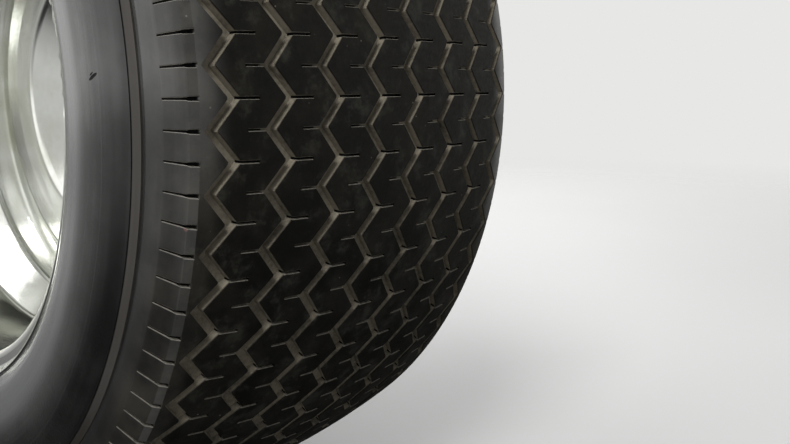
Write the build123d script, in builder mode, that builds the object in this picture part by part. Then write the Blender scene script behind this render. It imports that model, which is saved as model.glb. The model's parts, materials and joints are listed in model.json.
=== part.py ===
"""Right rear wheel of a hot rod, with its drum brake and the end of its axle, in millimetres.

+X is forward, +Z is up and -Y is outboard. The origin is on the wheel's axis, at the middle of
the axle tube, where the vehicle carries the part. Every place along the axis is measured from
the tyre's centre plane, positive inboard, which is the local x of the plane `section`.
"""

import os
from math import asin, cos, hypot, radians, sin

from build123d import *

os.makedirs("parts", exist_ok=True)

# Rim: 15 inches by 10 inches, with curled flanges and a drop centre
rim_width = 254.0           # between the two bead flanges
bead_seat_r = 190.1
flange_height = 17.3        # from the bead seat to the top of the flange
flange_reach = 13.0         # from the bead flange out to the rim's edge
flange_curl_r = 7.0         # middle line of the curl between them
rim_wall = 3.2
bead_ledge = 24.0
bead_ledge_drop = 2.1       # five degrees over the ledge
well_depth = 20.0
well_width = 60.0
well_place = 2.0            # middle of the well
well_ramp = 30.0
heel_r = 6.0
ramp_bend_r = 12.0

# Tyre: 26 inches tall, 12 inches wide
tyre_r = 330.0
tread_inset = 9.0           # tread's edge, inside the rim's edge
tread_drop = 12.0           # from the crown to the tread's edge
buttress_past_rim = 0.4
buttress_drop = 17.0        # from the tread's edge to the foot of the buttress
step_past_rim = 1.5
step_drop = 32.7            # from the tread's edge to the decorative step
step_rise = 4.0
bulge_past_rim = 12.0
chafer_rise = 6.0           # from the rim's flange out to where the sidewall's curve starts
tread_wall = 18.0
side_wall = 9.0
shoulder_wall = 14.0
bead_width = 20.0
bead_gap = 0.5
bead_heel_r = 6.5

# Wheel disc: pressed steel
backspacing = 114.3         # from the rim's inboard edge to the disc's mounting face
disc_wall = 4.5
disc_bore_r = 35.4
bolt_circle_r = 57.15
pad_r = 80.0
dish_height = 26.0          # from the mounting pad out to the disc's crown
crown_half = 12.0           # half the width of the crown's flat top
disc_flange = 22.0          # length of the edge that is welded inside the well
disc_bend_r = 11.0
weld_gap = 0.2

# Studs and nuts, half inch
stud_count = 5
stud_r = 6.35
stud_gap = 0.1
stud_hole_gap = 0.45
stud_head = 3.0             # how far the head stands out round the stud
stud_head_height = 4.0
stud_in_nut = 16.0
nut_flats = 20.6
nut_hex = 16.0
nut_corner = 1.2            # height of the chamfer on a hexagon's corners
nut_corner_slope = 60.0     # of that chamfer, from the nut's axis
nut_shoulder = 0.5          # from the flats in to the foot of the dome
nut_dome = 7.0
nut_dome_slope = 35.0
nut_dome_round = 8.0
nut_bore_gap = 0.15
nut_washer = 2.0

# Centre cap
cap_r = 42.5
cap_wall = 2.0
cap_skirt = 8.0
cap_height = 34.0
cap_top_r = 33.0
cap_crown = 4.0
cap_bend_r = 5.0            # outside of the bends at the skirt and at the top

# Valve
valve_hole_r = 5.75
valve_gap = 0.3
valve_body_r = 7.8
valve_neck_r = 6.4
valve_neck_slope = 5.0
valve_tip_r = 3.9
valve_cap_r = 4.8
valve_body = 16.0
valve_reach = 30.0
valve_cap = 10.0
valve_head = 3.0
valve_angle = 32.0          # from straight ahead, towards the top

# Axle shaft
flange_r = 76.0
flange_wall = 10.0
pilot_r = 35.2
pilot_height = 20.0
shaft_r = 19.85
shaft_neck_r = 16.0
shaft_past_bearing = 4.0
spline_root_r = 15.6
spline_r = 16.8
spline_length = 62.0
spline_teeth = 31
spline_tooth = 1.8
shaft_beyond_tube = 76.0
shaft_chamfer = 1.6
shaft_centre_r = 4.5        # lathe centre in the shaft's inboard end
shaft_centre_depth = 4.5

# Brake drum
drum_wall = 7.0
drum_web = 6.0
drum_depth = 62.0           # from the web's inner face to the drum's edge
drum_ring = 5.5             # how far the stiffening ring stands out
drum_ring_width = 9.0
drum_room = 12.6            # from the stiffening ring to the rim's well
drum_pilot_gap = 0.3
drum_edge_gap = 5.0         # running gap to the backing plate, all round

# Backing plate
flange_to_face = 63.5       # from the axle shaft's flange to the housing's flange
plate_wall = 3.0
plate_bore_gap = 6.0        # running gap round the axle shaft
plate_step_r = 80.0         # where the plate steps inboard
plate_step = 12.0
plate_lip = 14.0
plate_bend_r = 4.0

# Housing end and its bolts
housing_flange_wall = 9.5
housing_hub_wall = 5.0
housing_hub_length = 34.0
housing_taper = 14.0
housing_corner = 12.0       # flange metal round each bolt
housing_chamfer = 1.2
flange_bolt_r = 4.76
flange_bolt_angle = 33.7    # of each bolt, from level
flange_nut_flats = 14.3
flange_nut_room = 1.2       # from the hub to the nuts' corners
flange_nut_height = 8.5
flange_bolt_tip = 4.0
flange_bolt_chamfer = 0.8
flange_bolt_head = 5.0
bolt_gap = 0.3
bearing_r = 40.0
bearing_width = 23.0
bearing_gap = 0.15
bearing_edge = 1.5
running_gap = 0.05

# Axle tube
tube_r = 38.1
tube_wall = 6.4
tube_length = 200.0         # bare, for a bracket or a socket to grip

# Wheel cylinder, at the top of the backing plate
cylinder_below_drum = 28.0
cylinder_r = 17.0
cylinder_length = 58.0
cylinder_stand = 20.0       # from the plate to the cylinder's axis
cylinder_base = 26.0
boss_r = 15.0
boss_reach = 9.0
boss_chamfer = 1.2
boss_gap = 0.2
port_side = 6.5             # port and bleeder, each side of the boss's middle
port_r = 4.0
port_depth = 11.0
bleeder_r = 3.2
bleeder_seat = 6.0
bleeder_hex_flats = 8.0
bleeder_hex = 5.0
bleeder_reach = 19.0
bleeder_bore_r = 1.2

# Adjuster plug, at the bottom of the backing plate
plug_below_drum = 22.0
plug_length = 26.0
plug_height = 12.0
plug_flange = 3.0
plug_round = 1.5
plug_gap = 0.2

# Sizes and places that follow
half_wall = rim_wall / 2
seat_line = bead_seat_r - half_wall
ledge_line = seat_line - bead_ledge_drop
well_line = ledge_line - well_depth
well_inner_r = well_line - half_wall
flange_top_r = bead_seat_r + flange_height
crown_line = flange_top_r - half_wall
bead_face = rim_width / 2
rim_edge = bead_face + flange_reach
ledge_end = bead_face - bead_ledge
well_start = well_place - well_width / 2
well_end = well_place + well_width / 2

mount_face = rim_edge - backspacing
pad_face = mount_face - disc_wall
drum_face = mount_face + drum_web
flange_back = drum_face + flange_wall
housing_face = drum_face + flange_to_face
drum_edge = drum_face + drum_depth
plate_inner = drum_edge + drum_edge_gap
plate_outer = plate_inner + plate_wall
housing_back = housing_face + housing_flange_wall
bearing_end = housing_face + bearing_width
tube_start = housing_back + housing_hub_length
tube_end = tube_start + tube_length
shaft_end = tube_end + shaft_beyond_tube
wheel_place = tube_length / 2 - tube_end

drum_ring_r = well_inner_r - drum_room
drum_outer_r = drum_ring_r - drum_ring
drum_bore_r = drum_outer_r - drum_wall
cylinder_height = drum_bore_r - cylinder_below_drum
plug_drop = drum_bore_r - plug_below_drum
hub_r = bearing_r + housing_hub_wall
flange_nut_corner = flange_nut_flats / 2 / cos(radians(30))
flange_bolt_ring = hub_r + flange_nut_room + flange_nut_corner
flange_bolt_x = 2 * flange_bolt_ring * cos(radians(flange_bolt_angle))
flange_bolt_z = 2 * flange_bolt_ring * sin(radians(flange_bolt_angle))

section = Plane(origin=(0, wheel_place, 0), x_dir=(0, 1, 0), z_dir=(1, 0, 0))


def across(place):
    """Plane across the axle, facing outboard with its y upwards; extrude(-n) goes inboard."""
    return Plane(origin=(0, wheel_place + place, 0), x_dir=(1, 0, 0), z_dir=(0, -1, 0))


def ring(inner_r, outer_r, start, end):
    """Rectangle between two radii and two places, drawn in the plane `section`."""
    with Locations(((start + end) / 2, (inner_r + outer_r) / 2)):
        Rectangle(end - start, outer_r - inner_r)


def circles(piece, radius):
    """Circular edges of one radius on a piece under construction, outboard first."""
    found = piece.edges().filter_by(GeomType.CIRCLE)
    return found.filter_by(lambda edge: abs(edge.radius - radius) < 0.01).sort_by(Axis.Y)


def finish(piece, label):
    """Name a finished piece and write it."""
    piece.part.label = label
    export_step(piece.part, f"parts/{label}.step")


# Rim: a wall of even thickness about its middle line; each flange curls out to a round edge
edge_line = rim_edge - half_wall
bead_line = bead_face + half_wall

# The valve stands square to the middle of the outboard ramp
ramp_length = hypot(well_ramp, well_depth)
valve_side = Vector(cos(radians(valve_angle)), 0, sin(radians(valve_angle)))
valve_foot = valve_side * ((ledge_line + well_line) / 2) + Vector(
    0, wheel_place + well_start - well_ramp / 2, 0
)
valve_aim = valve_side * (-well_ramp / ramp_length) + Vector(0, -well_depth / ramp_length, 0)
valve_plane = Plane(origin=valve_foot, z_dir=valve_aim)

with BuildPart() as rim:
    with BuildSketch(section):
        with BuildLine():
            flange_bends = [heel_r, heel_r, flange_curl_r]
            FilletPolyline(
                (-edge_line, crown_line),
                (-bead_line, crown_line),
                (-bead_line, seat_line),
                (-ledge_end, ledge_line),
                (well_start - well_ramp, ledge_line),
                (well_start, well_line),
                (well_end, well_line),
                (well_end + well_ramp, ledge_line),
                (ledge_end, ledge_line),
                (bead_line, seat_line),
                (bead_line, crown_line),
                (edge_line, crown_line),
                radius=flange_bends[::-1] + 4 * [ramp_bend_r] + flange_bends,
            )
            offset(amount=half_wall)
        make_face()
    revolve(axis=Axis.Y)
    with BuildSketch(valve_plane):
        Circle(valve_hole_r)
    extrude(amount=2 * rim_wall, both=True, mode=Mode.SUBTRACT)
finish(rim, "rim")

# Tyre: a hollow casing; the outside runs down one sidewall, round the bead and back inside
tread_edge = (rim_edge - tread_inset, tyre_r - tread_drop)
buttress_foot = (rim_edge + buttress_past_rim, tread_edge[1] - buttress_drop)
step_top = (rim_edge + step_past_rim, tread_edge[1] - step_drop)
step_foot = (step_top[0] + step_rise, step_top[1] - step_rise)
bead_side = bead_face - bead_gap
bead_lip = (edge_line, flange_top_r + bead_gap)
chafer_edge = (rim_edge, bead_lip[1] + chafer_rise)
bulge = (rim_edge + bulge_past_rim, (step_foot[1] + chafer_edge[1]) / 2)
curl_clear = flange_curl_r + half_wall + bead_gap
curl_top = (bead_side + curl_clear, bead_lip[1])
curl_foot = (bead_side, bead_lip[1] - curl_clear)
curl_side = (
    curl_top[0] - curl_clear * cos(radians(45)),
    curl_foot[1] + curl_clear * sin(radians(45)),
)
bead_base_r = bead_seat_r + bead_gap
bead_heel = (bead_side, bead_base_r + bead_heel_r)
bead_base = (bead_side - bead_heel_r, bead_base_r)
bead_toe = (bead_side - bead_width, bead_base_r - bead_ledge_drop * bead_width / bead_ledge)
bead_shoulder = (bead_toe[0], flange_top_r - 4)
liner_foot = (chafer_edge[0] - side_wall, bead_lip[1] + side_wall)
liner_bulge = (bulge[0] - side_wall, bulge[1])
liner_step = (step_foot[0] - side_wall, step_foot[1])
liner_edge = (tread_edge[0] - shoulder_wall, tread_edge[1] - tread_wall)
liner_crown = (0, tyre_r - tread_wall)

with BuildPart() as tyre:
    with BuildSketch(section):
        with BuildLine():
            ThreePointArc((0, tyre_r), (tread_edge[0] / 2, tyre_r - tread_drop / 4), tread_edge)
            Polyline(tread_edge, buttress_foot, step_top, step_foot)
            ThreePointArc(step_foot, bulge, chafer_edge)
            Polyline(chafer_edge, bead_lip, curl_top)
            ThreePointArc(curl_top, curl_side, curl_foot)
            Line(curl_foot, bead_heel)
            RadiusArc(bead_heel, bead_base, bead_heel_r)
            Polyline(bead_base, bead_toe, bead_shoulder, liner_foot, liner_bulge)
            Polyline(liner_bulge, liner_step, liner_edge, liner_crown)
            Line(liner_crown, (0, tyre_r))
        make_face()
        mirror(about=Plane.YZ)
    revolve(axis=Axis.Y)
finish(tyre, "tyre")

# Wheel disc: a flat pad, a raised crown, and an edge welded inside the rim's well
disc_line = mount_face - disc_wall / 2
crown_line_place = disc_line - dish_height
disc_edge_r = well_inner_r - weld_gap - disc_wall / 2
crown_r = (pad_r + disc_edge_r) / 2

with BuildPart() as wheel_disc:
    with BuildSketch(section):
        with BuildLine():
            FilletPolyline(
                (disc_line, disc_bore_r + disc_wall / 2),
                (disc_line, pad_r),
                (crown_line_place, crown_r - crown_half),
                (crown_line_place, crown_r + crown_half),
                (well_end - disc_flange - disc_bend_r, disc_edge_r),
                (well_end, disc_edge_r),
                radius=disc_bend_r,
            )
            offset(amount=disc_wall / 2)
        make_face()
    revolve(axis=Axis.Y)
    with BuildSketch(across(pad_face)):
        with PolarLocations(bolt_circle_r, stud_count, start_angle=90):
            Circle(stud_r + stud_hole_gap)
    extrude(amount=-disc_wall, mode=Mode.SUBTRACT)
finish(wheel_disc, "wheel_disc")

# Centre cap: a hollow cap on the pad, over the axle's pilot; its top is part of a sphere
cap_top = pad_face - cap_height

with BuildPart() as hub_cap:
    with BuildSketch(section):
        with BuildLine():
            for inset in (0, cap_wall):
                rim_of_top = cap_top_r - inset
                top_r = (rim_of_top**2 + cap_crown**2) / (2 * cap_crown)
                half_turn = asin(rim_of_top / top_r) / 2
                Polyline(
                    (pad_face, cap_r - inset),
                    (pad_face - cap_skirt, cap_r - inset),
                    (cap_top + cap_crown + inset, rim_of_top),
                )
                ThreePointArc(
                    (cap_top + cap_crown + inset, rim_of_top),
                    (cap_top + inset + top_r * (1 - cos(half_turn)), top_r * sin(half_turn)),
                    (cap_top + inset, 0),
                )
            Line((pad_face, cap_r), (pad_face, cap_r - cap_wall))
            Line((cap_top, 0), (cap_top + cap_wall, 0))
        make_face()
    revolve(axis=Axis.Y)
    for inset in (0, cap_wall):
        for radius in (cap_r, cap_top_r):
            fillet(circles(hub_cap, radius - inset)[0], cap_bend_r - inset)
finish(hub_cap, "hub_cap")

# Studs: pressed through the axle's flange from behind
with BuildPart() as wheel_studs:
    with BuildSketch(across(pad_face - stud_in_nut)):
        with PolarLocations(bolt_circle_r, stud_count, start_angle=90):
            Circle(stud_r)
    extrude(amount=-(flange_back - pad_face + stud_in_nut + stud_head_height))
    with BuildSketch(across(flange_back)):
        with PolarLocations(bolt_circle_r, stud_count, start_angle=90):
            Circle(stud_r + stud_head)
    extrude(amount=-stud_head_height)
finish(wheel_studs, "wheel_studs")

# Nuts: closed, on a washer face; a cone takes the corners off the hexagon's end
with BuildPart() as lug_nuts:
    nut_corner_place = pad_face - nut_hex + nut_corner
    with BuildSketch(across(nut_corner_place)):
        with PolarLocations(bolt_circle_r, stud_count, start_angle=90):
            RegularPolygon(nut_flats / 2, 6, major_radius=False)
    extrude(amount=nut_corner)
    with BuildSketch(across(nut_corner_place)):
        with PolarLocations(bolt_circle_r, stud_count, start_angle=90):
            Circle(nut_flats / 2 / cos(radians(30)))
    extrude(amount=nut_corner, taper=nut_corner_slope, mode=Mode.INTERSECT)
    with BuildSketch(across(nut_corner_place)):
        with PolarLocations(bolt_circle_r, stud_count, start_angle=90):
            RegularPolygon(nut_flats / 2, 6, major_radius=False)
    extrude(amount=nut_corner - nut_hex)
    with BuildSketch(across(pad_face)):
        with PolarLocations(bolt_circle_r, stud_count, start_angle=90):
            Circle(nut_flats / 2 + nut_washer)
    extrude(amount=nut_washer)
    with BuildSketch(across(pad_face - nut_hex)):
        with PolarLocations(bolt_circle_r, stud_count, start_angle=90):
            Circle(nut_flats / 2 - nut_shoulder)
    extrude(amount=nut_dome, taper=nut_dome_slope)
    fillet(lug_nuts.edges().group_by(Axis.Y)[0], nut_dome_round)
    with BuildSketch(across(pad_face)):
        with PolarLocations(bolt_circle_r, stud_count, start_angle=90):
            Circle(stud_r + nut_bore_gap)
    extrude(amount=stud_in_nut + nut_bore_gap, mode=Mode.SUBTRACT)
finish(lug_nuts, "lug_nuts")

# Valve: a rubber body snapped into its hole, and a metal tip with a cap
with BuildPart() as valve_stem:
    valve_seat = half_wall + valve_gap
    for start, end, radius, slope in (
        (-valve_seat - valve_head, -valve_seat, valve_body_r, 0),
        (-valve_seat, valve_seat, valve_hole_r - valve_gap, 0),
        (valve_seat, valve_seat + 2, valve_body_r, 0),
        (valve_seat + 2, valve_body, valve_neck_r, valve_neck_slope),
        (valve_body, valve_reach - valve_cap, valve_tip_r, 0),
        (valve_reach - valve_cap, valve_reach, valve_cap_r, 0),
    ):
        with BuildSketch(valve_plane.offset(start)):
            Circle(radius)
        extrude(amount=end - start, taper=slope)
finish(valve_stem, "valve_stem")

# Brake drum: a web on the axle's flange, a wall and a stiffening ring at its edge
with BuildPart() as brake_drum:
    with BuildSketch(section):
        ring(pilot_r + drum_pilot_gap, drum_outer_r, mount_face, drum_face)
        ring(drum_bore_r, drum_outer_r, mount_face, drum_edge)
        ring(drum_bore_r, drum_ring_r, drum_edge - drum_ring_width, drum_edge)
    revolve(axis=Axis.Y)
    with BuildSketch(across(mount_face)):
        with PolarLocations(bolt_circle_r, stud_count, start_angle=90):
            Circle(stud_r + stud_hole_gap)
    extrude(amount=-drum_web, mode=Mode.SUBTRACT)
    web_edge = brake_drum.edges().filter_by(GeomType.CIRCLE).group_by(Axis.Y)[0]
    fillet(web_edge.sort_by(SortBy.RADIUS)[-1], drum_wall / 2)
finish(brake_drum, "brake_drum")

# Axle shaft: pilot, flange, bearing journal, neck and splined end
with BuildPart() as axle_shaft:
    with BuildSketch(section):
        ring(0, pilot_r, drum_face - pilot_height, drum_face)
        ring(0, flange_r, drum_face, flange_back)
        ring(0, shaft_r, flange_back, bearing_end + shaft_past_bearing)
        ring(0, shaft_neck_r, bearing_end, shaft_end - spline_length)
        ring(0, spline_root_r, shaft_end - spline_length - 1, shaft_end)
    revolve(axis=Axis.Y)
    with BuildSketch(across(drum_face)):
        with PolarLocations(bolt_circle_r, stud_count, start_angle=90):
            Circle(stud_r + stud_gap)
    extrude(amount=-flange_wall, mode=Mode.SUBTRACT)
    with BuildSketch(across(shaft_end)):
        with PolarLocations((spline_root_r + spline_r) / 2 - 0.2, spline_teeth):
            Rectangle(spline_r - spline_root_r + 0.4, spline_tooth)
    extrude(amount=spline_length)
    with BuildSketch(section):
        with BuildLine():
            Polyline(
                (shaft_end, spline_r - shaft_chamfer),
                (shaft_end, spline_r + 1),
                (shaft_end - shaft_chamfer - 1, spline_r + 1),
                close=True,
            )
        make_face()
        with BuildLine():
            Polyline(
                (shaft_end, 0),
                (shaft_end, shaft_centre_r),
                (shaft_end - shaft_centre_depth, 0),
                close=True,
            )
        make_face()
    revolve(axis=Axis.Y, mode=Mode.SUBTRACT)
finish(axle_shaft, "axle_shaft")

# Wheel bearing: carries the shaft in the housing end
with BuildPart() as wheel_bearing:
    with BuildSketch(section):
        ring(shaft_r + running_gap, bearing_r, housing_face, bearing_end)
    revolve(axis=Axis.Y)
    bearing_edges = wheel_bearing.edges().filter_by(GeomType.CIRCLE).group_by(SortBy.RADIUS)[-1]
    chamfer(bearing_edges, bearing_edge)
finish(wheel_bearing, "wheel_bearing")

# Housing end: a bolted flange and a hub that narrows to the tube
with BuildPart() as housing_end:
    with BuildSketch(across(housing_face)):
        RectangleRounded(
            flange_bolt_x + 2 * housing_corner, flange_bolt_z + 2 * housing_corner, housing_corner
        )
        Circle(hub_r + 2)
    extrude(amount=-housing_flange_wall)
    chamfer(housing_end.edges().group_by(Axis.Y)[-1], housing_chamfer)
    with BuildSketch(section):
        with BuildLine():
            Polyline(
                (housing_face, 0),
                (housing_face, hub_r),
                (tube_start - housing_taper, hub_r),
                (tube_start, tube_r + 1),
                (tube_start, 0),
                close=True,
            )
        make_face()
    revolve(axis=Axis.Y)
    with BuildSketch(section):
        ring(0, bearing_r + bearing_gap, housing_face, bearing_end)
        ring(0, tube_r - tube_wall, housing_face, tube_start)
    revolve(axis=Axis.Y, mode=Mode.SUBTRACT)
    with BuildSketch(across(housing_face)):
        with GridLocations(flange_bolt_x, flange_bolt_z, 2, 2):
            Circle(flange_bolt_r + bolt_gap)
    extrude(amount=-housing_flange_wall, mode=Mode.SUBTRACT)
finish(housing_end, "housing_end")

# Axle tube: butted on the housing end
with BuildPart() as axle_tube:
    with BuildSketch(section):
        ring(tube_r - tube_wall, tube_r, tube_start, tube_end)
    revolve(axis=Axis.Y)
finish(axle_tube, "axle_tube")

# Backing plate: steps inboard round the drum's edge, with a lip over it
plate_line = housing_face - plate_wall / 2
plate_rim_line = plate_inner + plate_wall / 2
plate_rim_r = drum_ring_r + drum_edge_gap + plate_wall / 2

with BuildPart() as backing_plate:
    with BuildSketch(section):
        with BuildLine():
            FilletPolyline(
                (plate_line, shaft_r + plate_bore_gap + plate_wall / 2),
                (plate_line, plate_step_r),
                (plate_rim_line, plate_step_r + plate_step),
                (plate_rim_line, plate_rim_r),
                (plate_rim_line - plate_lip, plate_rim_r),
                radius=plate_bend_r,
            )
            offset(amount=plate_wall / 2)
        make_face()
    revolve(axis=Axis.Y)
    with BuildSketch(across(plate_line - plate_wall)):
        with GridLocations(flange_bolt_x, flange_bolt_z, 2, 2):
            Circle(flange_bolt_r + bolt_gap)
    extrude(amount=-2 * plate_wall, mode=Mode.SUBTRACT)
    with BuildSketch(across(plate_inner)):
        with Locations((0, cylinder_height)):
            Circle(boss_r + boss_gap)
        with Locations((0, -plug_drop)):
            SlotOverall(plug_length + 2 * plug_gap, plug_height + 2 * plug_gap)
    extrude(amount=-plate_wall, mode=Mode.SUBTRACT)
finish(backing_plate, "backing_plate")

# Flange bolts: heads inside the brake, nuts with chamfered corners on the housing's flange
with BuildPart() as flange_bolts:
    flange_corner_place = housing_back + flange_nut_height - nut_corner
    with BuildSketch(across(flange_corner_place)):
        with GridLocations(flange_bolt_x, flange_bolt_z, 2, 2):
            RegularPolygon(flange_nut_flats / 2, 6, major_radius=False)
    extrude(amount=-nut_corner)
    with BuildSketch(across(flange_corner_place)):
        with GridLocations(flange_bolt_x, flange_bolt_z, 2, 2):
            Circle(flange_nut_corner)
    extrude(amount=-nut_corner, taper=nut_corner_slope, mode=Mode.INTERSECT)
    with BuildSketch(across(housing_face - plate_wall)):
        with GridLocations(flange_bolt_x, flange_bolt_z, 2, 2):
            Circle(flange_bolt_r)
    extrude(amount=-(plate_wall + housing_flange_wall + flange_nut_height + flange_bolt_tip))
    chamfer(flange_bolts.edges().group_by(Axis.Y)[-1], flange_bolt_chamfer)
    for place, height in (
        (housing_face - plate_wall, flange_bolt_head),
        (housing_back, nut_corner - flange_nut_height),
    ):
        with BuildSketch(across(place)):
            with GridLocations(flange_bolt_x, flange_bolt_z, 2, 2):
                RegularPolygon(flange_nut_flats / 2, 6, major_radius=False)
        extrude(amount=height)
finish(flange_bolts, "flange_bolts")

# Wheel cylinder: lies inside the drum, with its boss out through the plate
with BuildPart() as wheel_cylinder:
    cylinder_place = plate_inner - cylinder_stand
    side_plane = Plane(
        origin=(cylinder_length / 2, wheel_place + cylinder_place, cylinder_height),
        x_dir=(0, 1, 0),
        z_dir=(1, 0, 0),
    )
    with BuildSketch(side_plane):
        Circle(cylinder_r)
    extrude(amount=-cylinder_length)
    with BuildSketch(across(cylinder_place)):
        with Locations((0, cylinder_height)):
            Rectangle(cylinder_base, 2 * cylinder_r - 4)
    extrude(amount=-cylinder_stand)
    with BuildSketch(across(plate_inner)):
        with Locations((0, cylinder_height)):
            Circle(boss_r)
    extrude(amount=-(plate_wall + boss_reach))
    chamfer(wheel_cylinder.edges().group_by(Axis.Y)[-1], boss_chamfer)
    with BuildSketch(across(plate_outer + boss_reach)):
        with Locations((-port_side, cylinder_height)):
            Circle(port_r)
    extrude(amount=port_depth, mode=Mode.SUBTRACT)
    with BuildSketch(across(plate_outer + boss_reach)):
        with Locations((port_side, cylinder_height)):
            Circle(bleeder_r + boss_gap)
    extrude(amount=bleeder_seat, mode=Mode.SUBTRACT)
finish(wheel_cylinder, "wheel_cylinder")

# Bleeder: a hollow screw beside the port
with BuildPart() as bleeder_screw:
    for start, end, radius in (
        (-bleeder_seat, bleeder_reach - 4, bleeder_r),
        (bleeder_reach - 4, bleeder_reach, bleeder_r + 0.8),
    ):
        with BuildSketch(across(plate_outer + boss_reach + start)):
            with Locations((port_side, cylinder_height)):
                Circle(radius)
        extrude(amount=-(end - start))
    with BuildSketch(across(plate_outer + boss_reach + 1)):
        with Locations((port_side, cylinder_height)):
            RegularPolygon(bleeder_hex_flats / 2, 6, major_radius=False)
    extrude(amount=-bleeder_hex)
    with BuildSketch(across(plate_outer + boss_reach + bleeder_reach)):
        with Locations((port_side, cylinder_height)):
            Circle(bleeder_bore_r)
    extrude(amount=bleeder_reach, mode=Mode.SUBTRACT)
finish(bleeder_screw, "bleeder_screw")

# Adjuster plug: fills the slot in the plate, with a flange on its inboard face
with BuildPart() as adjuster_plug:
    with BuildSketch(across(plate_inner)):
        with Locations((0, -plug_drop)):
            SlotOverall(plug_length, plug_height)
    extrude(amount=-plate_wall)
    with BuildSketch(across(plate_outer)):
        with Locations((0, -plug_drop)):
            SlotOverall(plug_length + 2 * plug_flange, plug_height + 2 * plug_flange)
    extrude(amount=-plug_flange)
    fillet(adjuster_plug.edges().group_by(Axis.Y)[-1], plug_round)
finish(adjuster_plug, "adjuster_plug")
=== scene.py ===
"""Looks of a hot rod's right rear wheel, with its drum brake and the end of its axle.

Metres, +X forward, +Z up, -Y outboard. Places across the tyre are measured from its middle plane,
positive inboard, and radii from the wheel's axis.
"""

import json
from math import cos, pi, radians, sin, tan

import bmesh
import bpy
import numpy as np
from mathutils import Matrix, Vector


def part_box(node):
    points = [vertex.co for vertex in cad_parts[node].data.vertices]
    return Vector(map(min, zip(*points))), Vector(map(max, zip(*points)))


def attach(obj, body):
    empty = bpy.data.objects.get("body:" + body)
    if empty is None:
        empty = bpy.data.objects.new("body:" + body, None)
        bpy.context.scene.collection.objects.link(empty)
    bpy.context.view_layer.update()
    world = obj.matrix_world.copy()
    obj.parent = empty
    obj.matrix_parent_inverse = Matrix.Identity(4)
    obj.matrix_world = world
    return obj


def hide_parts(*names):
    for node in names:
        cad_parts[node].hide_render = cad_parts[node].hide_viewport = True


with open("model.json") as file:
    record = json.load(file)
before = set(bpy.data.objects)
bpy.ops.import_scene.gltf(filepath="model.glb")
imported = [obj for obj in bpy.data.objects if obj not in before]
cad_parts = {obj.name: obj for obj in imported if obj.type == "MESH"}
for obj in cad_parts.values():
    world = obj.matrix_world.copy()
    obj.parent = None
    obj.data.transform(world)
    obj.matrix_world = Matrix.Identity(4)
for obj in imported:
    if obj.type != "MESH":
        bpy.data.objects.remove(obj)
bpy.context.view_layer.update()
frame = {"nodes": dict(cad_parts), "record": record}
nodes = frame["nodes"]
MM = 0.001


def reach(node):
    """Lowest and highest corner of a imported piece, as arrays."""
    low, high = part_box(node)
    return np.array(low), np.array(high)


tyre_low, tyre_high = reach("tyre")
rim_low, rim_high = reach("rim")
tube_low, tube_high = reach("axle_tube")
plate_face = reach("backing_plate")[1][1]
boss_low, boss_high = reach("wheel_cylinder")
middle = (tyre_low[1] + tyre_high[1]) / 2
tyre_r = tyre_high[2]
half_width = (tyre_high[1] - tyre_low[1]) / 2
rim_edge = (rim_high[1] - rim_low[1]) / 2
flange_r = rim_high[2]

# Tread: eight zigzag grooves, nine ribs, and a cut into a rib from each corner of a zigzag
half_pitches = 126              # corners of each zigzag round the tyre
first_corner = 0.16345          # radians above straight ahead, of one corner that points outboard
groove_count = 8
groove_spacing = 33.82 * MM
zigzag = 6.73 * MM              # how far each corner lies from its groove's middle line
groove_wide = 7.6 * MM          # straight across the tyre
groove_deep = 5.2 * MM
groove_draft = radians(8)
inboard_cut = (10.5 * MM, 1.5 * MM)     # length and width, from corners that point inboard
outboard_cut = (10.0 * MM, 1.2 * MM)
cut_deep = 4.0 * MM
cut_edge = 0.4 * MM             # worn edge along a cut
cut_wall = 0.15 * MM            # how far a cut's wall leans in
cut_end = 0.4 * MM
crown_drop = 12.0 * MM          # from the crown to the tread's edge

# Shoulder and sidewall: (across from the rim's edge, drop from the crown)
tread_edge = (-9.1 * MM, 12.0 * MM)
shoulder_corner = (-4.9 * MM, 14.8 * MM)
shoulder_foot = (0.4 * MM, 28.9 * MM)
ring_outer = (1.6 * MM, 44.7 * MM)
ring_inner = (5.6 * MM, 48.4 * MM)
ring_line = 0.45 * MM           # width of the fine line along each edge of the band between them
sidewall = [                    # in millimetres: over the bulge, a straight cone, in at the rim
    (8.4, 54.0), (10.5, 60.5), (11.7, 68.5), (11.6, 79.0), (10.8, 87.0), (10.05, 91.5),
    (9.1, 96.0), (7.85, 102.0), (6.2, 110.0), (5.2, 113.0), (3.6, 116.5),
]
hairline_r = 264.0 * MM         # fine mould line on the sidewall

# Rim's flange, a wall that curls out to a round edge, and the tyre's bead that sits in it
rim_wall = 3.2 * MM
curl_middle = (4.4 * MM, 8.6 * MM)      # in from the rim's edge, and down from its top
bead_clear = 9.1 * MM                   # tyre's inner surface, from the curl's middle
bead_lip = (0.2 * MM, 0.9 * MM)         # tyre's edge, out from the rim's edge and above its top
bead_base = [                           # in millimetres: in from the curl, down from its top
    (0.0, 10.3), (4.0, 16.4), (20.0, 18.5), (20.0, 4.0),
]

# Where the rubber's looks change
haze_and_reflection_radii = (249.0 * MM, 231.0 * MM)       # a pale haze sets in towards the rim: partly dried dressing, partly a painted reflection
dressing_across = (112.0 * MM, 137.0 * MM)  # from the tread's edge to the full coat of dressing
film_across = (-17.0 * MM, -9.0 * MM)       # brown film sets in, from the shoulder's corner
chip_place = (0.3093, -0.3739, -0.0592)     # reddish chip at one shoulder cut
nick_place = (0.2592, 0.0148)               # nick in the sidewall, and a scratch beside it
scratch_place = (0.2579, 0.0162)

# Small pieces inboard
pin_r = 108.0 * MM              # hold-down pins, from the axle
bolt_across = 22.8 * MM         # cylinder's bolts, from its middle
bolt_flats = 11.1 * MM
bead_r = 143.0 * MM             # pressed bead of the backing plate
weight_angle = radians(118)     # balance weight, above straight ahead


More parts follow.
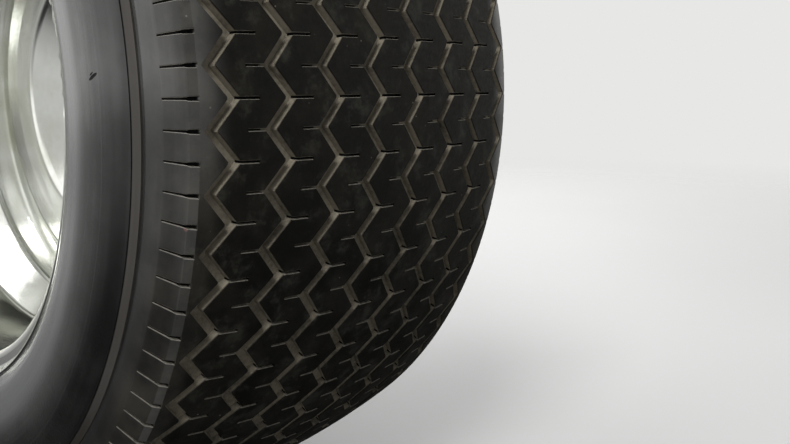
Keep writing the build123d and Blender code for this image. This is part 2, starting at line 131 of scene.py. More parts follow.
class Field:
    """A shader value that takes Python's operators: each one adds a Math node."""

    def __init__(self, look, socket):
        self.look = look
        self.socket = socket

    def __add__(self, other):
        return self.look.math("ADD", self, other)

    def __sub__(self, other):
        return self.look.math("SUBTRACT", self, other)

    def __rsub__(self, other):
        return self.look.math("SUBTRACT", other, self)

    def __mul__(self, other):
        return self.look.math("MULTIPLY", self, other)

    def __truediv__(self, other):
        return self.look.math("DIVIDE", self, other)

    __radd__ = __add__


class Look:
    """A material or world under construction. `node` makes any node; the rest are short forms."""

    def __init__(self, name, blocks=bpy.data.materials):
        self.block = blocks.new(name)
        self.block.use_nodes = True
        self.tree = self.block.node_tree
        self.tree.nodes.clear()
        self.ways = self.node("ShaderNodeTexCoord").outputs
        self.place = self.ways["Object"]
        parts = self.node("ShaderNodeSeparateXYZ", Vector=self.place).outputs
        self.x, self.y, self.z = (Field(self, parts[axis]) for axis in "XYZ")

    def node(self, kind, settings=None, **sockets):
        """Make a node: its type, its settings, then its sockets' values or links, by name or
        _index."""
        made = self.tree.nodes.new(kind)
        for setting, value in (settings or {}).items():
            setattr(made, setting, value)
        for label, value in sockets.items():
            key = int(label[1:]) if label[0] == "_" else label.replace("_", " ")
            socket = made.inputs[key]
            value = value.socket if isinstance(value, Field) else value
            if isinstance(value, bpy.types.NodeSocket):
                self.tree.links.new(value, socket)
            elif isinstance(value, tuple) and len(value) == 3 and socket.type == "RGBA":
                socket.default_value = (*value, 1)
            else:
                socket.default_value = value
        return made

    def math(self, operation, a, b=0.0):
        made = self.node("ShaderNodeMath", {"operation": operation}, _0=a, _1=b)
        return Field(self, made.outputs[0])

    def step(self, value, start, end, low=0.0, high=1.0):
        """Smooth step of a value, from low at start to high at end."""
        made = self.node(
            "ShaderNodeMapRange", {"interpolation_type": "SMOOTHSTEP"},
            _0=value, _1=start, _2=end, _3=low, _4=high,
        )
        return Field(self, made.outputs[0])

    def vector(self, x, y, z):
        return self.node("ShaderNodeCombineXYZ", X=x, Y=y, Z=z).outputs[0]

    def noise(self, scale, detail=3.0, roughness=0.5, at=None):
        made = self.node(
            "ShaderNodeTexNoise", Vector=at or self.place,
            Scale=scale, Detail=detail, Roughness=roughness,
        )
        return Field(self, made.outputs["Fac"])

    def cells(self, scale):
        """Distance from scattered points, for pits, grit and specks."""
        made = self.node("ShaderNodeTexVoronoi", Vector=self.place, Scale=scale)
        return Field(self, made.outputs["Distance"])

    def mix(self, factor, a, b):
        """Colour a where factor is 0 and colour b where it is 1."""
        made = self.node("ShaderNodeMix", {"data_type": "RGBA"}, _0=factor, _6=a, _7=b)
        return made.outputs[2]

    def attribute(self, name):
        made = self.node("ShaderNodeAttribute", {"attribute_name": name})
        return Field(self, made.outputs["Fac"])

    def radius(self):
        """Distance from the wheel's axis."""
        return self.math("SQRT", self.x * self.x + self.z * self.z)

    def round_axle(self, along, across):
        """Coordinates on which noise draws streaks round the wheel: slow along, fast across."""
        r = self.radius()
        return self.vector(self.x / r * along, r * across, self.z / r * along)

    def spot(self, centre, turn, long, wide):
        """Mask of a small ellipse in the plane across the axle, on the outboard side."""
        x, z = self.x - centre[0], self.z - centre[1]
        u = (x * cos(turn) + z * sin(turn)) / (long / 2)
        w = (z * cos(turn) - x * sin(turn)) / (wide / 2)
        return self.step(u * u + w * w, 1.4, 0.6) * self.step(self.y, middle, middle - 10 * MM)

    def ball(self, centre, r):
        """Mask of what lies within a distance of a point."""
        away = self.node(
            "ShaderNodeVectorMath", {"operation": "DISTANCE"}, _0=self.place, _1=centre
        ).outputs["Value"]
        return self.step(away, r, 0.5 * r)

    def finish(self, height=None, bump=0.5, bump_reach=0.001, **sockets):
        """Join the surface shader to the output, with a bump from a height where one is given."""
        if height is not None:
            made = self.node("ShaderNodeBump", Strength=bump, Distance=bump_reach, Height=height)
            sockets["Normal"] = made.outputs[0]
        shader = self.node("ShaderNodeBsdfPrincipled", **sockets)
        self.node("ShaderNodeOutputMaterial", Surface=shader.outputs[0])
        return self.block


def tyre_rubber():
    """Worn brown-black tread with pale dust in its grooves. Cuts are painted near black inside, as
    painted shade, and pale along their lips, partly as scuffed rubber and partly as a painted
    highlight on the edges. The sidewall has a coat of dressing, full by the rim and thinner
    towards the tread, and a pale haze towards the rim that is partly dried dressing and partly a
    painted reflection, with brown film over the shoulder and grime on the band between the rings."""
    look = Look("tyre_rubber")
    groove, cut, lip = (look.attribute(label) for label in ("groove", "cut", "lip"))
    across = look.math("ABSOLUTE", look.y - middle)
    r = look.radius()
    corner = rim_edge + shoulder_corner[0]
    band_out, band_in = tyre_r - ring_outer[1], tyre_r - ring_inner[1]
    tread = look.step(across, corner + 0.4 * MM, corner - 0.4 * MM)
    line = look.step(look.math("ABSOLUTE", r - hairline_r), 0.5 * MM, 0.2 * MM)
    by_rim = look.step(r, *haze_and_reflection_radii)

    cloud = look.noise(34.0, 5.0, 0.62)
    fine = look.noise(420.0, 4.0, 0.6)
    smudge = look.noise(15.0, 4.0, 0.6)
    streak = look.noise(1.0, 4.0, 0.6, look.round_axle(2.2, 260.0))
    smear = smudge * 0.7 + streak * 0.3

    dressed = look.mix(
        look.step(smear, 0.40, 0.64), (0.006, 0.006, 0.0058), (0.016, 0.016, 0.0155)
    )
    # Pale haze towards the rim: partly a haze of dried dressing, partly a painted reflection along
    # the lip.
    haze = by_rim * look.step(streak, 0.3, 0.7, 0.7, 1.0)
    dressed = look.mix(haze, dressed, (0.056, 0.058, 0.059))
    dressed = look.mix(line * 0.2, dressed, (0.06, 0.06, 0.058))
    worn = look.mix(
        look.step(cloud, 0.35, 0.72), (0.004, 0.0038, 0.003), (0.014, 0.0128, 0.010)
    )
    rubbed = look.step(look.noise(62.0, 5.0, 0.6) * 0.75 + fine * 0.25, 0.50, 0.68)
    worn = look.mix(rubbed * 0.8, worn, (0.036, 0.035, 0.029))
    rubber = look.mix(tread, dressed, worn)

    shoulder = look.step(r, band_out, tyre_r - shoulder_foot[1])
    shoulder = shoulder * look.step(across, *(corner + shift for shift in film_across))
    film = shoulder * look.step(cloud * 0.6 + smudge * 0.4, 0.35, 0.62, 0.06, 0.36)
    rubber = look.mix(film, rubber, (0.076, 0.070, 0.057))
    band = look.step(r, band_in, band_in + 0.8 * MM)
    band = band * look.step(r, band_out + 0.2 * MM, band_out - 0.6 * MM)
    rubber = look.mix(band * (streak * 0.5 + 0.45), rubber, (0.068, 0.059, 0.050))
    patches = look.step(cloud * 0.6 + fine * 0.4, 0.3, 0.6, 0.4, 1.0)
    dust = look.step(groove, 0.04, 0.3) * patches
    rubber = look.mix(dust, rubber, (0.255, 0.228, 0.178))
    # Painted shade: the inside of each cut is made near black.
    rubber = look.mix(look.step(cut, 0.1, 0.4), rubber, (0.003, 0.003, 0.003))
    # Pale lips along the cuts: partly scuffed rubber, partly a painted highlight along the edges.
    scuff_and_highlight = look.step(lip, 0.2, 0.6) * look.step(fine, 0.3, 0.6, 0.5, 0.9)
    rubber = look.mix(scuff_and_highlight, rubber, (0.21, 0.195, 0.165))
    specks = look.step(look.cells(140.0), 0.09, 0.05) * look.step(cloud, 0.52, 0.6) * tread
    rubber = look.mix(specks * 0.45, rubber, (0.30, 0.28, 0.24))
    chip = look.ball(chip_place, 1.6 * MM) * look.step(fine, 0.35, 0.6, 0.1, 0.6)
    rubber = look.mix(chip, rubber, (0.24, 0.10, 0.09))
    nick = look.spot(nick_place, 0.43, 7.7 * MM, 1.9 * MM)
    nick = nick + look.spot(scratch_place, 0.46, 3.4 * MM, 1.0 * MM) * 0.7
    rubber = look.mix(nick, rubber, (0.001, 0.001, 0.001))

    matt = look.step(cloud * 0.5 + fine * 0.5, 0.3, 0.7, 0.52, 0.78)
    roughness = 0.45 + (matt - 0.45) * tread
    roughness = roughness + (0.92 - roughness) * dust
    height = fine * 0.3 + cloud * 0.4 + streak * (1 - tread) * 0.2 + line * 0.2 - nick * 1.5
    thin = look.step(smear, 0.36, 0.6, 0.66, 0.9)
    dressing = look.step(across, *dressing_across) * (thin + (1 - thin) * by_rim)
    dressing = dressing * (1 - dust) * look.step(nick + cut, 0.5, 0.1)
    return look.finish(
        height, 0.35, 0.6 * MM, Base_Color=rubber, Roughness=roughness, Specular_IOR_Level=0.12,
        Coat_Weight=dressing, Coat_Roughness=0.13, Coat_IOR=1.8,
    )


def chrome(name, bright, dull, smooth, hazy):
    """Bright plate that is a little wavy, with haze that streaks round the wheel."""
    look = Look(name)
    streak = look.noise(1.0, 3.0, 0.6, look.round_axle(2.4, 42.0))
    haze = look.noise(22.0, 4.0, 0.6) * 0.4 + streak * 0.6
    fine = look.noise(300.0, 3.0, 0.6)
    wave = look.noise(14.0, 2.0, 0.4)
    base = look.mix(look.step(haze, 0.4, 0.68), bright, dull)
    roughness = look.step(haze * 0.8 + fine * 0.2, 0.36, 0.66, smooth, hazy)
    return look.finish(
        wave + fine * 0.01, 0.08, 0.004, Base_Color=base, Roughness=roughness, Metallic=1.0
    )


def plated_steel():
    """Dull zinc plate, a little yellow, with grime in places."""
    look = Look("plated_steel")
    grime = look.step(look.noise(120.0, 4.0, 0.65), 0.45, 0.7)
    fine = look.noise(700.0, 3.0)
    base = look.mix(grime, (0.56, 0.54, 0.47), (0.24, 0.20, 0.15))
    roughness = look.step(fine, 0.3, 0.7, 0.32, 0.5) + grime * 0.25
    return look.finish(fine, 0.25, 0.0003, Base_Color=base, Roughness=roughness, Metallic=0.85)


def valve_axis():
    """Centre of the valve's outer end, and its axis out of the rim: the longest way through it."""
    mesh = nodes["valve_stem"].data
    points = np.empty(len(mesh.vertices) * 3)
    mesh.vertices.foreach_get("co", points)
    points = points.reshape(-1, 3)
    axis = np.linalg.svd(points - points.mean(0), full_matrices=False)[2][0]
    axis *= -np.sign(axis[1])
    along = points @ axis
    end = points[along > along.max() - 0.1 * MM]
    return (end.min(0) + end.max(0)) / 2, axis


def valve_rubber():
    """Black rubber body, with the plated stem beyond its neck."""
    look = Look("valve_rubber")
    grime = look.noise(300.0, 4.0)
    end, axis = valve_axis()
    along = look.x * axis[0] + look.y * axis[1] + look.z * axis[2]
    metal = look.step(along, end @ axis - 14.3 * MM, end @ axis - 13.9 * MM)
    base = look.mix(look.step(grime, 0.4, 0.7), (0.018, 0.018, 0.018), (0.05, 0.047, 0.042))
    base = look.mix(metal, base, (0.62, 0.60, 0.55))
    roughness = look.step(grime, 0.3, 0.7, 0.45, 0.65) - metal * 0.25
    return look.finish(grime, 0.3, 0.0003, Base_Color=base, Roughness=roughness, Metallic=metal)


def rusted_iron(name, iron, rust, amount):
    """Casting with a grainy skin and thin rust; amount is the share of it that is rusty."""
    look = Look(name)
    cloud = look.noise(30.0, 6.0, 0.7)
    grain = look.noise(520.0, 4.0, 0.65)
    pits = look.cells(330.0)
    rusty = look.step(cloud * 0.75 + grain * 0.25, 0.62 - amount * 0.3, 0.78 - amount * 0.3)
    base = look.mix(look.step(grain, 0.3, 0.7), iron, tuple(0.62 * part for part in iron))
    red = look.mix(look.step(grain, 0.35, 0.65), rust, tuple(0.5 * part for part in rust))
    base = look.mix(rusty, base, red)
    roughness = look.step(grain, 0.3, 0.7, 0.5, 0.72) + rusty * 0.2
    height = grain * 0.6 + look.step(pits, 0.0, 0.35) * 0.25 + rusty * 0.15
    return look.finish(
        height, 0.55, 0.0008, Base_Color=base, Roughness=roughness, Metallic=0.45 - rusty * 0.4
    )


def machined_steel():
    """Turned steel: fine rings round the axle, an oil film and a few brown stains."""
    look = Look("machined_steel")
    r = look.radius()
    lines = look.noise(1.0, 4.0, 0.7, look.vector(r * 3500.0, look.y * 3500.0, 0.0))
    stain = look.step(look.noise(45.0, 5.0, 0.65), 0.5, 0.72)
    base = look.mix(look.step(lines, 0.3, 0.7), (0.56, 0.55, 0.53), (0.42, 0.41, 0.39))
    base = look.mix(stain * 0.7, base, (0.20, 0.13, 0.08))
    roughness = look.step(lines, 0.3, 0.7, 0.2, 0.36) + stain * 0.25
    return look.finish(lines, 0.3, 0.0002, Base_Color=base, Roughness=roughness, Metallic=1.0)


def dusty_paint(name, paint, gloss, dust_amount):
    """Black chassis paint with fine orange peel, and road dust on what faces up."""
    look = Look(name)
    cloud = look.noise(26.0, 5.0, 0.65)
    grain = look.noise(600.0, 3.0, 0.6)
    peel = look.noise(170.0, 2.0)
    up = look.node("ShaderNodeSeparateXYZ", Vector=look.ways["Normal"]).outputs["Z"]
    settled = look.step(Field(look, up) * 0.5 + cloud, 0.55, 1.05)
    film = look.step(cloud * 0.8 + grain * 0.2, 0.42, 0.75)
    dust = settled * dust_amount + film * dust_amount * 0.5
    base = look.mix(dust, paint, (0.19, 0.165, 0.13))
    chips = look.step(look.cells(75.0), 0.085, 0.06) * look.step(cloud, 0.52, 0.6)
    base = look.mix(chips, base, (0.16, 0.075, 0.04))
    roughness = dust * 0.5 + look.step(grain, 0.3, 0.7, gloss, gloss + 0.12) + chips * 0.3
    return look.finish(
        peel * 0.7 + grain * 0.2 - chips * 0.6, 0.3, 0.0006, Base_Color=base, Roughness=roughness
    )


def plug_rubber():
    look = Look("plug_rubber")
    grime = look.noise(180.0, 4.0, 0.6)
    base = look.mix(look.step(grime, 0.4, 0.7), (0.017, 0.017, 0.017), (0.085, 0.075, 0.06))
    return look.finish(
        grime, 0.3, 0.0004, Base_Color=base, Roughness=look.step(grime, 0.3, 0.7, 0.55, 0.8)
    )


looks = {
    "tyre_rubber": tyre_rubber(),
    "rim_chrome": chrome("rim_chrome", (0.84, 0.85, 0.82), (0.72, 0.73, 0.66), 0.10, 0.24),
    "nut_chrome": chrome("nut_chrome", (0.76, 0.77, 0.78), (0.70, 0.71, 0.71), 0.04, 0.10),
    "plated_steel": plated_steel(),
    "valve_rubber": valve_rubber(),
    "drum_iron": rusted_iron("drum_iron", (0.16, 0.15, 0.14), (0.23, 0.10, 0.045), 0.45),
    "machined_steel": machined_steel(),
    "housing_paint": dusty_paint("housing_paint", (0.016, 0.016, 0.017), 0.34, 0.5),
    "plate_paint": dusty_paint("plate_paint", (0.02, 0.02, 0.021), 0.42, 0.75),
    "cylinder_iron": rusted_iron("cylinder_iron", (0.22, 0.20, 0.18), (0.20, 0.09, 0.04), 0.2),
    "plug_rubber": plug_rubber(),
}


def surface(name, grid, body, slot, along=False, crease=35.0, fields=None):
    """Make a piece from a grid of points, one face to each cell.

    The grid's last axes are rows, columns and xyz, with copies before them where there are any.
    Rows run round and join up, and along joins the last column to the first. Points that fall
    together are merged, which closes poles, and faces are turned outwards.
    """
    grid = grid.reshape(-1, *grid.shape[-3:])
    index = np.arange(grid[..., 0].size).reshape(grid.shape[:3])
    index = np.concatenate([index, index[:, :1]], 1)
    if along:
        index = np.concatenate([index, index[:, :, :1]], 2)
    corners = [index[:, :-1, :-1], index[:, :-1, 1:], index[:, 1:, 1:], index[:, 1:, :-1]]
    faces = np.stack(corners, -1).reshape(-1, 4)
    mesh = bpy.data.meshes.new(name)
    mesh.vertices.add(grid[..., 0].size)
    mesh.vertices.foreach_set("co", grid.astype(np.float32).ravel())
    mesh.loops.add(faces.size)
    mesh.loops.foreach_set("vertex_index", faces.astype(np.int32).ravel())
    mesh.polygons.add(len(faces))
    mesh.polygons.foreach_set("loop_start", np.arange(0, faces.size, 4, dtype=np.int32))
    mesh.update(calc_edges=True)
    for label, values in (fields or {}).items():
        made = mesh.attributes.new(label, "FLOAT", "POINT")
        made.data.foreach_set("value", values.astype(np.float32).ravel())
    shape = bmesh.new()
    shape.from_mesh(mesh)
    bmesh.ops.remove_doubles(shape, verts=shape.verts, dist=1e-6)
    bmesh.ops.recalc_face_normals(shape, faces=shape.faces)
    shape.to_mesh(mesh)
    shape.free()
    mesh.shade_smooth()
    mesh.set_sharp_from_angle(angle=radians(crease))
    mesh.materials.append(looks[slot])
    piece = bpy.data.objects.new(name, mesh)
    bpy.context.scene.collection.objects.link(piece)
    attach(piece, body)
    return piece


def about_axle(r, angle, place):
    """Points at a radius from the axle, an angle above straight ahead and a place along it."""
    return np.stack(np.broadcast_arrays(r * np.cos(angle), place, r * np.sin(angle)), -1)


def arc(start, through, end, count):
    """Points on the circle through three points, from start to end, both left out."""
    a, b, c = (complex(*point) for point in (start, through, end))
    w = (c - a) / (b - a)
    centre = (b - a) * (w - abs(w) ** 2) / (2j * w.imag) + a
    turn = np.angle((c - centre) / (a - centre))
    if np.sign(np.angle((b - centre) / (a - centre))) != np.sign(turn):
        turn -= np.sign(turn) * 2 * pi
    shares = np.arange(1, count + 1) / (count + 1)
    points = centre + (a - centre) * np.exp(1j * turn * shares)
    return [(point.real, point.imag) for point in points]


def side_section():
    """Half of the tyre's outline from the shoulder's foot down the sidewall, round the bead and
    back along the inside: (distance from the middle plane, radius)."""
    def at(place):
        return (rim_edge + place[0], tyre_r - place[1])

    foot, outer, inner = at(shoulder_foot), at(ring_outer), at(ring_inner)
    curl = (rim_edge - curl_middle[0], flange_r - curl_middle[1])
    curl_top = (curl[0], curl[1] + bead_clear)
    curl_side = (curl[0] - bead_clear * cos(pi / 4), curl[1] + bead_clear * sin(pi / 4))
    curl_foot = (curl[0] - bead_clear, curl[1])
    slope = ring_line / np.hypot(inner[0] - outer[0], outer[1] - inner[1])
    dip = (-ring_line * 0.7, -ring_line * 0.7)
    band = np.array(inner) - np.array(outer)
    lines = []      # three points for each fine line, with the middle one sunk
    for share in (0.0, 1.0):
        start = np.array(outer) + band * (share - slope * (0.3 + share))
        end = np.array(outer) + band * (share + slope * (1.3 - share))
        lines += [tuple(start), tuple((start + end) / 2 + dip), tuple(end)]
    buttress = (foot[0] + 0.7 * MM, (foot[1] + outer[1]) / 2)
    inside_bulge = (half_width - 9.0 * MM, tyre_r - 82.0 * MM)
    under_tread = (rim_edge - 23.0 * MM, tyre_r - 30.0 * MM)
    return [
        buttress,
        *lines,
        *(at((across * MM, drop * MM)) for across, drop in sidewall),
        (rim_edge + bead_lip[0], flange_r + bead_lip[1]),
        curl_top,
        *arc(curl_top, curl_side, curl_foot, 2),
        curl_foot,
        *((curl_foot[0] - across * MM, flange_r - down * MM) for across, down in bead_base),
        inside_bulge,
        under_tread,
    ]


def tyre():
    """Tyre with its tread, as a grid of rows round the wheel and columns round its section.

    Six rows lie about each corner of the zigzags: the worn edges, lips and floor of a cut. They
    spread out evenly down the sidewalls. A column's place across is its own place, plus the
    zigzag's share: a triangle wave of the angle, -1 at even corners and +1 at odd ones. Its
    radius is the crown's parabola less the depth of the groove or cut there.
    """
    pitch = 2 * pi / half_pitches
    corner = np.repeat(np.arange(half_pitches), 6)
    row = np.tile(np.arange(6), half_pitches)
    odd = (corner % 2 == 1)[:, None]
    edge = rim_edge + tread_edge[0]
    columns = []

    def column(place, share=0.0, groove=0.0, odd_cut=0.0, even_cut=0.0, wide=np.nan, drop=np.nan):
        """Drop and wide are nan where the crown and the cuts of the ribs set them."""
        columns.append((place, share, groove, odd_cut, even_cut, wide, drop))

    def shoulder_and_side(side):
        """Cuts across the shoulder, (across, drop, depth, width), then the plain sidewall."""
        corner_across, corner_down = shoulder_corner
        foot_across, foot_down = shoulder_foot
        cuts = (
            (tread_edge[0] - cut_end, None, 0.0, 2.4),
            (tread_edge[0], None, 4.0, 2.4),
            (corner_across - 0.3 * MM, corner_down - 0.25 * MM, 4.2, 2.2),
            (corner_across + 0.3 * MM, corner_down + 0.7 * MM, 3.8, 1.5),
            (foot_across - 0.3 * MM, foot_down - 0.8 * MM, 2.6, 1.1),
            (foot_across - 0.1 * MM, foot_down - 0.2 * MM, 0.0, 1.1),
            (foot_across + 0.1 * MM, foot_down + 1.0 * MM, 0.0, 1.1),
        )
        run = [
            (side * (rim_edge + across), deep * MM, wide * MM, np.nan if drop is None else drop)
            for across, drop, deep, wide in cuts
        ]
        run += [(side * across, 0.0, 0.0, tyre_r - r) for across, r in side_section()]
        for place, deep, wide, drop in run[::side]:
            column(place, odd_cut=deep, even_cut=deep, wide=wide, drop=drop)

    shoulder_and_side(-1)
    half_top = groove_wide / 2
    half_floor = half_top - groove_deep * tan(groove_draft)
    for number in range(groove_count):
        place = (number - (groove_count - 1) / 2) * groove_spacing
        rib = place + groove_spacing
        last = number == groove_count - 1
        column(place - half_top, 1.0, even_cut=cut_deep if number else 0.0)
        column(place - half_floor, 1.0, groove_deep)
        column(place + half_floor, 1.0, groove_deep)
        column(place + half_top, 1.0, odd_cut=0.0 if last else cut_deep)
        if not last:
            column(place + half_top + inboard_cut[0], 1.0, odd_cut=cut_deep)
            column(place + half_top + inboard_cut[0] + cut_end, 1.0)
            column(rib - half_top - outboard_cut[0] - cut_end, 1.0)
            column(rib - half_top - outboard_cut[0], 1.0, even_cut=cut_deep)
    shoulder_and_side(1)

    place, share, groove, odd_cut, even_cut, wide, drop = np.array(columns).T
    deep = np.where(odd, odd_cut, even_cut)
    rib_wide = np.where(odd, inboard_cut[1], outboard_cut[1])
    half = np.where(np.isnan(wide), rib_wide, wide) / 2
    lean = np.array([-cut_edge, 0.0, cut_wall, -cut_wall, 0.0, cut_edge])[row][:, None]
    lips = (half * np.array([-1, -1, -1, 1, 1, 1])[row][:, None] + lean) / tyre_r
    even_rows = (row[:, None] - 2.5) / 6 * pitch
    turn = np.where(wide == 0, even_rows, lips)
    angle = first_corner - corner[:, None] * pitch - turn
    wave = np.abs((corner[:, None] + turn / pitch) % 2 - 1)
    across = place + share * zigzag * (1 - 2 * wave)
    on_lip = np.isin(row, (1, 4))[:, None] & (deep > 0)
    in_cut = np.isin(row, (2, 3))[:, None] & (deep > 0)
    depth = np.where(in_cut, np.maximum(groove, deep), groove)
    depth = np.where(on_lip, np.maximum(depth, cut_edge), depth)
    crown = tyre_r - crown_drop * (across / edge) ** 2
    radius = np.where(np.isnan(drop), crown, tyre_r - drop) - depth
    points = about_axle(radius, angle, middle + across)
    down_groove = np.broadcast_to(groove / groove_deep, depth.shape)
    # The cut field marks the inside of a cut, which the rubber paints near black as painted shade;
    # lip marks its lips, painted pale partly as a painted highlight.
    fields = {"groove": down_groove, "cut": in_cut, "lip": on_lip}
    piece = surface(
        "tyre_tread", points, "wheel", "tyre_rubber", along=True, crease=15.0, fields=fields
    )
    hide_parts("tyre")


def turned(spots, profile, place, rows=24, flats=None):
    """Grids of small shapes turned about axes along the axle.

    Each spot is (x, z), and the profile is (how far it stands inboard of place, radius). With
    flats, a radius beyond the hexagon is cut back to it.
    """
    turn = np.linspace(0, 2 * pi, rows, endpoint=False)[:, None]
    stand, r = np.array(profile).T
    r = np.broadcast_to(r, (rows, len(r)))
    if flats:
        r = np.minimum(r, flats / 2 / np.cos((turn + pi / 6) % (pi / 3) - pi / 6))
    shape = about_axle(r, turn, place + stand)
    return np.stack([shape + (x, 0, z) for x, z in spots])


def plate_fittings():
    """On the backing plate: the shoes' hold-down pins, the cylinder's bolts and a pressed bead, a
    ring with an oval section that is half sunk in the plate."""
    pin = np.array([
        (-0.5, 0), (-0.5, 7.0), (0.8, 7.0), (1.0, 6.8),
        (1.0, 4.6), (2.0, 4.2), (2.7, 2.6), (2.9, 0),
    ]) * MM
    pins = turned([(-pin_r, 0), (pin_r, 0)], pin, plate_face)
    surface("hold_down_pins", pins, "axle_end", "plated_steel")

    bolt = np.array([
        (-0.5, 0), (-0.5, 6.6), (0.7, 6.6), (0.7, 9.0), (4.1, 9.0), (5.0, 5.2), (5.0, 0),
    ]) * MM
    height = (boss_low[2] + boss_high[2]) / 2
    spots = [(-bolt_across, height), (bolt_across, height)]
    bolts = turned(spots, bolt, plate_face, rows=48, flats=bolt_flats)
    surface("cylinder_bolts", bolts, "axle_end", "plated_steel")

    turn = np.linspace(0, 2 * pi, 180, endpoint=False)[:, None]
    oval = np.linspace(0, 2 * pi, 16, endpoint=False)
    half_wide, proud = 2.6 * MM, 1.5 * MM
    bead = about_axle(
        bead_r + half_wide * np.cos(oval), turn, plate_face + proud * np.sin(oval)
    )
    surface("plate_bead", bead, "axle_end", "plate_paint", along=True)


def housing_weld():
    """Bead between the tube and the housing end: a ring whose round section swells in ripples that
    lean round the tube."""
    ripples, swells = 90, 7
    half_high, half_wide = 2.3, 3.0     # section, in millimetres
    turn = np.linspace(0, 2 * pi, 6 * ripples, endpoint=False)[:, None]
    section = np.linspace(0, 2 * pi, 14, endpoint=False)
    size = 1 + 0.1 * np.sin(ripples * turn + 1.6 * np.cos(section)) + 0.06 * np.sin(swells * turn)
    r = tube_high[2] + (0.4 + half_high * size * np.cos(section)) * MM
    place = tube_low[1] + (0.6 + half_wide * size * np.sin(section)) * MM
    bead = about_axle(r, turn, place)
    surface("housing_weld", bead, "axle_end", "housing_paint", along=True, crease=60.0)


def balance_weight():
    """Lead weight under the edge of the rim's inboard flange, and the clip that holds it there.

    The weight is a bar with a rounded square section, bent to the rim, whose section shrinks
    quickly at both ends. The clip is a strip that goes from the weight round the flange's edge:
    an even wall about a line of points, thinned to nothing at its first and last column.
    """
    half_high, half_wide, half_length = 4.5 * MM, 3.0 * MM, radians(8)
    section = np.linspace(0, 2 * pi, 24, endpoint=False)[:, None]
    along = np.sin(np.linspace(-pi / 2, pi / 2, 33))
    size = (1 - np.abs(along) ** 8) ** (1 / 4)
    square = [np.sign(f(section)) * np.abs(f(section)) ** 0.45 for f in (np.cos, np.sin)]
    r = flange_r - 7.7 * MM + half_high * size * square[0]
    place = rim_high[1] - 1.6 * MM + half_wide * size * square[1]
    bar = about_axle(r, weight_angle + half_length * along, place)
    surface("balance_weight", bar, "wheel", "plated_steel", crease=60.0)

    clear, half_thick, half_clip = 0.25 * MM, 0.2 * MM, radians(1.8)
    half_edge = rim_wall / 2
    bend = np.linspace(0, pi / 2, 6)
    line = np.array([
        (1.5 * MM, -7.0 * MM),
        (1.2 * MM, -rim_wall),
        *zip((half_edge + clear) * np.cos(bend) - half_edge,
             (half_edge + clear) * np.sin(bend) - half_edge),
        (-4.0 * MM, clear),
    ])
    along_line = np.gradient(line, axis=0)
    across_line = np.stack([along_line[:, 1], -along_line[:, 0]], -1)
    across_line *= half_thick / np.linalg.norm(across_line, axis=1, keepdims=True)
    loop = np.concatenate([line, line[::-1]])[:, None]
    wall = np.concatenate([across_line, -across_line[::-1]])[:, None]
    thick = np.array([0, 1, 1, 1, 1, 0])[:, None]
    stand, rise = np.moveaxis(loop + wall * thick, -1, 0)
    angle = weight_angle + half_clip * np.array([-1, -1, -0.4, 0.4, 1, 1])
    clip = about_axle(flange_r + rise, angle, rim_high[1] + stand)
    surface("balance_clip", clip, "wheel", "plated_steel", crease=60.0)


def valve_cap():
    """Knurled cap on the valve: its radius ripples with the angle, between plain ends."""
    end, axis = valve_axis()
    side = np.cross(axis, (0, 1, 0))
    side /= np.linalg.norm(side)
    other = np.cross(axis, side)
    knurls = 24
    turn = np.linspace(0, 2 * pi, 4 * knurls, endpoint=False)[:, None]
    profile = np.array([        # in millimetres: beyond the valve's end, radius, knurled or not
        (-10.3, 0, 0), (-10.3, 4.7, 0), (-10.0, 5.0, 0), (-9.0, 5.0, 0), (-8.8, 5.0, 1),
        (-2.2, 5.0, 1), (-2.0, 5.0, 0), (-0.6, 5.0, 0), (0.2, 4.2, 0), (0.3, 0, 0),
    ])
    stand, r, knurled = profile.T
    r = (r + 0.22 * knurled * np.cos(knurls * turn)) * MM
    cap = end + stand[:, None] * MM * axis + r[..., None] * (
        np.cos(turn)[..., None] * side + np.sin(turn)[..., None] * other
    )
    surface("valve_cap", cap, "wheel", "nut_chrome")


def floor():
    """Round pale floor, level with the foot of the tyre, that fades into the background further
    out. Light meets a darker floor, so that little comes off it, and shiny surfaces see through it
    to the background."""
    sides, floor_r = 96, 7.0
    turn = np.linspace(0, 2 * pi, sides, endpoint=False)
    edge = [floor_r * np.cos(turn), floor_r * np.sin(turn), np.full(sides, -tyre_r)]
    mesh = bpy.data.meshes.new("floor")
    mesh.from_pydata(np.stack(edge, -1).tolist(), [], [tuple(range(sides))])
    piece = bpy.data.objects.new("floor", mesh)
    bpy.context.scene.collection.objects.link(piece)
    look = Look("floor")
    path = look.node("ShaderNodeLightPath").outputs
    mottle = look.noise(1.5, 3.0)
    pale = look.mix(mottle, (0.66, 0.66, 0.65), (0.70, 0.70, 0.69))
    away = look.math("SQRT", look.x * look.x + look.y * look.y)
    mesh.materials.append(look.finish(
        Base_Color=look.mix(path["Is Camera Ray"], (0.22, 0.22, 0.215), pale), Roughness=0.6,
        Alpha=look.step(away, 0.8, 3.2, 1.0, 0.0) * (1 - Field(look, path["Is Glossy Ray"])),
    ))


def lamp(name, direction, distance, wide, high, power, mirrored=True):
    """Soft rectangular lamp in a direction from the wheel's middle, facing it. Shiny surfaces
    mirror it unless mirrored is off."""
    target = Vector((0.0, middle, 0.0))
    place = target + Vector(direction).normalized() * distance
    light = bpy.data.lights.new(name, "AREA")
    light.shape = "RECTANGLE"
    light.size = wide
    light.size_y = high
    light.energy = power
    piece = bpy.data.objects.new(name, light)
    piece.location = place
    piece.rotation_euler = (target - place).to_track_quat("-Z", "Y").to_euler()
    piece.visible_glossy = mirrored
    bpy.context.scene.collection.objects.link(piece)


background = 0.80       # as the camera sees it, where 1 is white


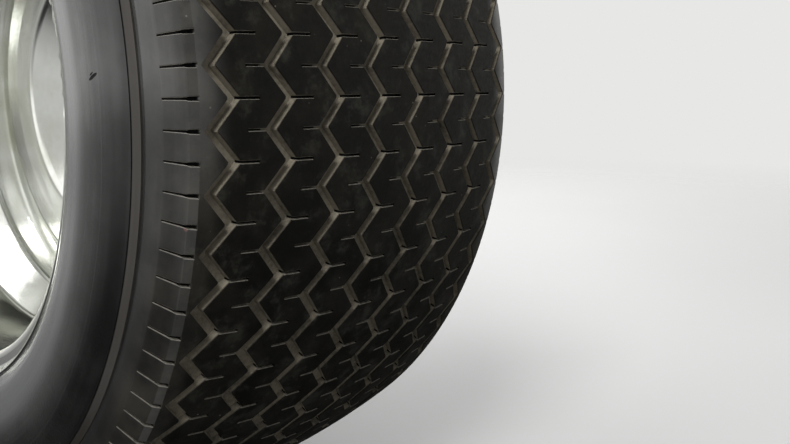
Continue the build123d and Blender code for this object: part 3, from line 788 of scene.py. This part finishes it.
def studio():
    """Pale world and soft lamps. Shiny surfaces see the pale background too: dimmer low down, with
    a brighter patch inboard there, and an even grey ahead and outboard."""
    look = Look("studio", bpy.data.worlds)
    path = look.node("ShaderNodeLightPath").outputs
    camera_ray = Field(look, path["Is Camera Ray"])
    way = look.node("ShaderNodeSeparateXYZ", Vector=look.ways["Generated"]).outputs
    ahead, inboard, up = (Field(look, way[axis]) for axis in "XYZ")
    low = look.step(up, -0.45, -0.08, 0.03, 0.46)
    patch = look.step(up, -0.42, -0.18) * look.step(up, -0.08, -0.14)
    patch = patch * look.step(inboard, -0.16, -0.02)
    around = low + patch * 0.28 + look.step(up, -0.09, 0.0) * 0.54
    ahead_outboard = look.step(ahead, -0.25, 0.05) * look.step(inboard, 0.1, -0.2)
    ahead_outboard = ahead_outboard * look.step(up, 0.80, 0.62)
    mirrored = around + (look.step(up, -0.75, -0.25, 0.30, 0.58) - around) * ahead_outboard
    shown = look.node(
        "ShaderNodeBackground", Color=(1.0, 1.0, 0.985),
        Strength=mirrored + (background - mirrored) * camera_ray,
    )
    lit = look.node(
        "ShaderNodeBackground", Color=(0.98, 0.99, 1.0),
        Strength=look.step(up, -0.5, 0.3, 0.07, 0.42),
    )
    mirror_ray = look.math("MAXIMUM", path["Is Glossy Ray"], path["Is Transmission Ray"])
    seen = look.math("MAXIMUM", camera_ray, mirror_ray)
    blend = look.node("ShaderNodeMixShader", _0=seen, _1=lit.outputs[0], _2=shown.outputs[0])
    look.node("ShaderNodeOutputWorld", Surface=blend.outputs[0])
    bpy.context.scene.world = look.block
    lamp("key", (-0.25, -0.44, 0.86), 2.9, 1.5, 1.5, 34.0)
    lamp("outboard", (0.40, -0.66, 0.64), 2.9, 1.0, 1.0, 52.0, mirrored=False)
    lamp("side_panel", (-0.57, -0.76, 0.30), 3.2, 4.0, 2.0, 6.0)
    lamp("back_panel", (-0.50, 0.75, 0.43), 3.4, 1.8, 1.8, 40.0)


def camera():
    """Camera ahead of the wheel and outboard, a little above the axle, as in the photograph."""
    place = Vector((0.6535, -0.6152, 0.0127))
    turn, tilt = 0.858811, -0.166179        # inboard of straight back, and up
    aim = Vector((-cos(tilt) * cos(turn), cos(tilt) * sin(turn), sin(tilt)))
    data = bpy.data.cameras.new("camera")
    data.sensor_width = 36.0
    data.lens = 38.31
    data.clip_start = 0.01
    piece = bpy.data.objects.new("camera", data)
    piece.location = place
    piece.rotation_euler = aim.to_track_quat("-Z", "Y").to_euler()
    bpy.context.scene.collection.objects.link(piece)
    bpy.context.scene.camera = piece


for entry in frame["record"]["subparts"]:
    for slot in nodes[entry["node"]].material_slots:
        slot.material = looks[entry["material_slot"]]

tyre()
plate_fittings()
housing_weld()
balance_weight()
valve_cap()
floor()
studio()
camera()
bpy.context.scene.view_settings.view_transform = "Standard"
